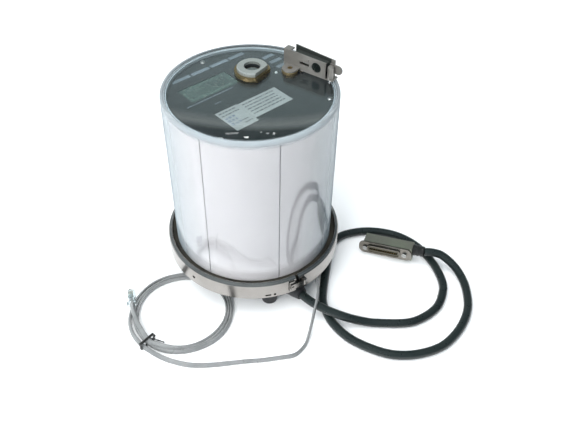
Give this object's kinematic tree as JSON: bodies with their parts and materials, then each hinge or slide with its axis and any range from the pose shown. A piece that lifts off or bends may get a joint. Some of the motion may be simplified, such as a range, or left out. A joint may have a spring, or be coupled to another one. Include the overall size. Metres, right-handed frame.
{
  "type": "socket-type electricity meter",
  "caption": "Round electricity meter with a clear deep cover, steel sealing ring, feet, optical port, reset lever, a black cable with a hooded connector and a coiled flat lead.",
  "frame": {"origin": "on the cover's axis, at the surface that the four feet rest on; the object without its leads is centred on it", "axes": "+Z out of the meter's face, along the cover; +Y towards the top of the face, +X to the right of the face"},
  "size_m": [0.3172, 0.3168, 0.2353],
  "materials": {
    "black_moulding": "satin",
    "plated_contact": "satin",
    "gasket_rubber": "matt",
    "clear_cover": "clear, glossy",
    "ring_steel": "bright, lightly brushed",
    "chassis_plastic": "matt",
    "white_panel": "glossy white",
    "dark_face": "satin",
    "screw_steel": "bright",
    "display_glass": "glossy grey-green",
    "label_paper": "satin white",
    "pale_print": "pale blue-grey",
    "board_green": "satin",
    "transformer_tape": "satin",
    "copper": "bright",
    "transformer_iron": "satin",
    "capacitor_sleeve": "satin",
    "battery_sleeve": "satin",
    "brass": "satin",
    "port_steel": "bright, turned",
    "dark_window": "glossy dark",
    "bracket_steel": "satin",
    "dark_steel": "satin black",
    "cable_jacket": "semi-gloss",
    "hood_plating": "satin olive-grey plating",
    "shell_steel": "satin",
    "insulator": "satin",
    "contact_gold": "bright",
    "relief_rubber": "matt",
    "silver_jacket": "satin silver-grey",
    "clear_plug": "clear, glossy"
  },
  "bodies": {
    "meter": {"base_moulding": "black_moulding", "line_blades": "plated_contact", "load_blades": "plated_contact", "cable_outlet": "black_moulding", "cover_gasket": "gasket_rubber", "cover": "clear_cover", "sealing_ring": "ring_steel", "ring_catch": "ring_steel", "latch_pin": "ring_steel", "chassis": "chassis_plastic", "side_panels": "white_panel", "face_plate": "dark_face", "face_screws": "screw_steel", "lcd_module": "display_glass", "name_label": "label_paper", "label_bars": "pale_print", "reset_switch": "chassis_plastic", "register_board": "board_green", "light_pipes": "clear_plug", "power_board": "board_green", "board_standoffs": "screw_steel", "current_transformers": "transformer_tape", "bus_bars": "copper", "power_transformer": "transformer_iron", "capacitors": "capacitor_sleeve", "backup_battery": "battery_sleeve", "port_base": "brass", "port_ring": "port_steel", "port_window": "dark_window", "port_nut": "brass", "reset_bracket": "bracket_steel", "mounting_bush": "brass", "bracket_post": "bracket_steel", "bracket_nut": "brass", "lever_pin": "dark_steel", "plunger_guide": "brass", "plunger_spring": "screw_steel", "io_gland": "black_moulding", "io_cable": "cable_jacket", "hood_upper": "hood_plating", "hood_lower": "hood_plating", "connector_flange": "shell_steel", "connector_insulator": "insulator", "connector_contacts": "contact_gold", "jackscrews": "screw_steel", "connector_relief": "relief_rubber", "comms_grommet": "relief_rubber", "comms_lead": "silver_jacket", "comms_coil": "silver_jacket", "comms_tail": "silver_jacket", "twist_tie": "relief_rubber", "modular_plug": "clear_plug", "plug_contacts": "contact_gold"},
    "lever": {"reset_lever": "bracket_steel"},
    "plunger": {"reset_plunger": "brass"},
    "latch": {"ring_latch": "ring_steel"},
    "plug_tab": {"plug_latch": "clear_plug"}
  },
  "joints": [
    {"name": "reset_lever_pivot", "type": "hinge", "parent": "meter", "child": "lever", "pos_m": [0.06305, -0.02302, 0.224], "axis": [-0.9728, -0.2317, 0], "range_deg": [0, 8.5], "stiffness_Nm_per_rad": 0.13, "springref_deg": -1.72},
    {"name": "reset_plunger_slide", "type": "slide", "parent": "meter", "child": "plunger", "axis": [0, 0, -1], "range_m": [0, 0.0035], "deforming": ["plunger_spring"]},
    {"name": "ring_latch_hinge", "type": "hinge", "parent": "meter", "child": "latch", "pos_m": [-0.01082, -0.09181, 0.038], "axis": [0, 0, 1], "range_deg": [0, 100]},
    {"name": "plug_latch_flex", "type": "hinge", "parent": "meter", "child": "plug_tab", "pos_m": [-0.13753, 0.03784, 0.00782], "axis": [0.891, -0.454, 0], "range_deg": [0, 5], "stiffness_Nm_per_rad": 0.03, "springref_deg": -1.15}
  ],
  "couplings": [
    {"joint": "reset_plunger_slide", "follows": "reset_lever_pivot", "m_per_rad": 0.02292}
  ]
}
